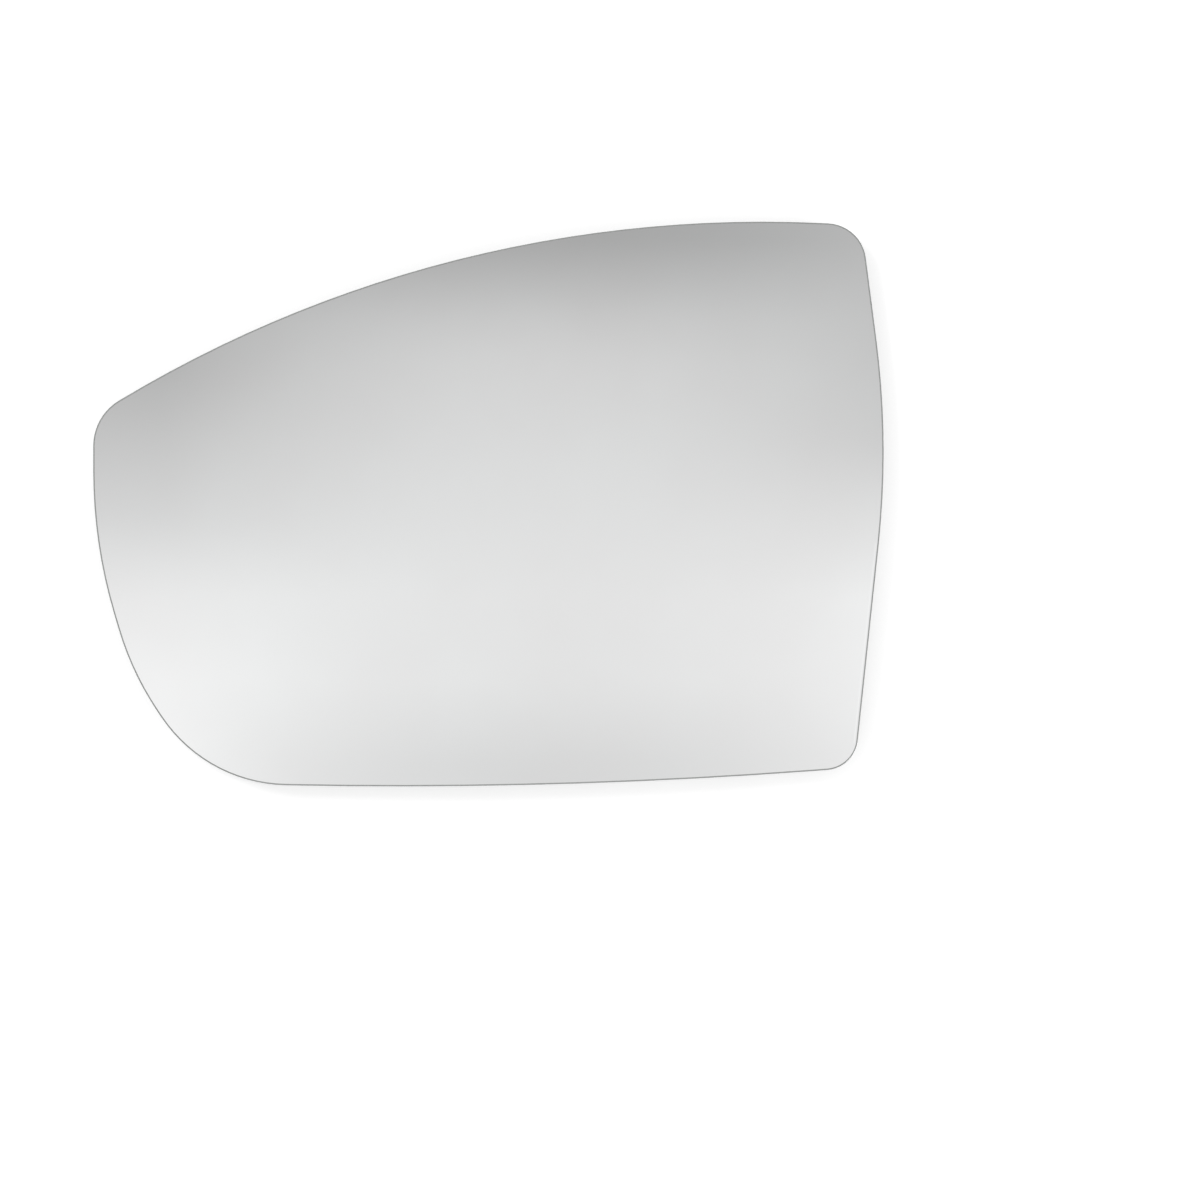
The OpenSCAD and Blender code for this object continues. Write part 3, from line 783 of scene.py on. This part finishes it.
def studio_world():
    world = bpy.data.worlds.new("studio")
    bpy.context.scene.world = world
    world.use_nodes = True
    tree = world.node_tree
    background = tree.nodes["Background"]
    direction = add(tree, "ShaderNodeTexCoord", {}).outputs["Generated"]
    part = add(tree, "ShaderNodeSeparateXYZ", {"Vector": direction})
    up = add(tree, "ShaderNodeMath", {0: part.outputs["Z"], 1: LEAST_UP}, operation="MAXIMUM")
    slope = {
        axis: add(tree, "ShaderNodeMath", {0: part.outputs[axis], 1: up.outputs["Value"]}, operation="DIVIDE")
        for axis in ("X", "Y")}
    along = add(tree, "ShaderNodeMapRange", {
        "Value": slope["Y"].outputs["Value"], "From Min": -SPAN_Y, "From Max": SPAN_Y})
    across = add(tree, "ShaderNodeMath", {0: slope["X"].outputs["Value"], 1: SPAN_X}, operation="DIVIDE")
    bow = add(tree, "ShaderNodeMath", {
        0: across.outputs["Value"], 1: across.outputs["Value"]}, operation="MULTIPLY", use_clamp=True)
    right = add(tree, "ShaderNodeMath", {0: across.outputs["Value"], 1: 0.0}, operation="GREATER_THAN")
    left_ramp, middle_ramp, right_ramp = [
        add(tree, "ShaderNodeValToRGB", {"Fac": along.outputs["Result"]}, stops=stops).outputs["Color"]
        for stops in (LEFT, MIDDLE, RIGHT)]
    side = add(tree, "ShaderNodeMix", {
        "Factor": right.outputs["Value"], MIX_A: left_ramp, MIX_B: right_ramp}, data_type="RGBA")
    face = add(tree, "ShaderNodeMix", {
        "Factor": bow.outputs["Value"], MIX_A: middle_ramp, MIX_B: side.outputs[MIXED]}, data_type="RGBA")
    flat = add(tree, "ShaderNodeVectorMath", {0: direction, 1: (1, 1, 0)}, operation="MULTIPLY")
    lean = add(tree, "ShaderNodeVectorMath", {0: flat.outputs["Vector"]}, operation="LENGTH")
    away = add(tree, "ShaderNodeMapRange", {
        "Value": lean.outputs["Value"], "From Min": NEAR_ZENITH[0], "From Max": NEAR_ZENITH[1]},
        interpolation_type="SMOOTHSTEP")
    height = add(tree, "ShaderNodeMapRange", {
        "Value": part.outputs["Z"], "From Min": -1.0, "From Max": 1.0})
    walls = add(tree, "ShaderNodeValToRGB", {"Fac": height.outputs["Result"]}, stops=[
        (0.0, "#6a6a6a"), (0.1, "#363636"), (0.25, "#444444"), (0.38, "#f8f8f8"), (0.5, "#f4f4f4"),
        (0.68, "#dedede"), (0.9, "#e6e6e6")])
    sky = add(tree, "ShaderNodeMix", {
        "Factor": away.outputs["Result"], MIX_A: face.outputs[MIXED], MIX_B: walls.outputs["Color"]},
        data_type="RGBA")
    soft = add(tree, "ShaderNodeValToRGB", {"Fac": height.outputs["Result"]}, stops=[
        (0.4, "#808080"), (0.6, "#d2d2d2")])
    ray = add(tree, "ShaderNodeLightPath", {})
    light = add(tree, "ShaderNodeMix", {
        "Factor": ray.outputs["Is Glossy Ray"], MIX_A: soft.outputs["Color"], MIX_B: sky.outputs[MIXED]},
        data_type="RGBA")
    seen = add(tree, "ShaderNodeMix", {
        "Factor": ray.outputs["Is Camera Ray"], MIX_A: light.outputs[MIXED], MIX_B: paint("#ffffff")},
        data_type="RGBA")
    clear = add(tree, "ShaderNodeMix", {
        "Factor": ray.outputs["Is Transmission Ray"], MIX_A: seen.outputs[MIXED], MIX_B: paint("#ffffff")},
        data_type="RGBA")
    fill(tree, background, {"Color": clear.outputs[MIXED], "Strength": 1})


studio_world()

# %% [markdown]
# Soft lamps model the form: a strong one at the upper left, a weaker and wider one at the
# right, and two below for the back of the part. The upper ones stay out of sight of the mirror,
# which would show them as discs. The lower ones are seen in the polished ring and its edges.

# %% Lamps
def soft_lamp(name, place, width, watts, mirrored=False):
    """Round lamp at a place in metres, turned to the part. Glossy surfaces show it if mirrored."""
    data = bpy.data.lights.new(name, "AREA")
    data.shape = "DISK"
    data.size = width
    data.energy = watts
    lamp = bpy.data.objects.new(name, data)
    lamp.location = place
    lamp.rotation_mode = "QUATERNION"
    lamp.rotation_quaternion = (-Vector(place)).to_track_quat("-Z", "Y")
    lamp.visible_camera = False
    lamp.visible_glossy = mirrored
    bpy.context.scene.collection.objects.link(lamp)


soft_lamp("key_lamp", (-0.7, 0.5, 1.1), 0.6, 6)
soft_lamp("fill_lamp", (0.9, -0.4, 0.8), 0.8, 4)
soft_lamp("under_lamp", (0.7, -0.38, -1), 0.4, 10.5, mirrored=True)
soft_lamp("edge_lamp", (-0.1, -1.0, -0.5), 0.25, 3, mirrored=True)

# %% [markdown]
# The floor is a pale sheet that carries the soft shadow, and it glows a little, so that it runs
# to plain white away from the part. Only the camera sees it, and only from above: the world's
# light reaches the back of the part as if it lay on glass, which shows the ring from below.

# %% Floor
FLOOR_HALF = mm(6000)
FLOOR_DROP = mm(0.05)
GLOW = 0.45


def floor():
    shape = bmesh.new()
    bmesh.ops.create_grid(shape, x_segments=1, y_segments=1, size=FLOOR_HALF)
    mesh = bpy.data.meshes.new("floor")
    shape.to_mesh(mesh)
    shape.free()
    ground = bpy.data.objects.new("floor", mesh)
    ground.location.z = -FLOOR_DROP
    ground.visible_diffuse = False
    ground.visible_glossy = False
    ground.visible_shadow = False
    bpy.context.scene.collection.objects.link(ground)
    material = bpy.data.materials.new("pale_studio_floor")
    material.use_nodes = True
    tree = material.node_tree
    tree.nodes.remove(tree.nodes["Principled BSDF"])
    paper = add(tree, "ShaderNodeBsdfDiffuse", {"Color": paint("#e8e8e8")})
    glow = add(tree, "ShaderNodeEmission", {"Color": paint("#ffffff"), "Strength": GLOW})
    both = add(tree, "ShaderNodeAddShader", {0: paper.outputs["BSDF"], 1: glow.outputs["Emission"]})
    clear = add(tree, "ShaderNodeBsdfTransparent", {})
    under = add(tree, "ShaderNodeNewGeometry", {})
    mixed = add(tree, "ShaderNodeMixShader", {
        "Fac": under.outputs["Backfacing"], 1: both.outputs["Shader"], 2: clear.outputs["BSDF"]})
    tree.links.new(mixed.outputs["Shader"], tree.nodes["Material Output"].inputs["Surface"])
    mesh.materials.append(material)


floor()
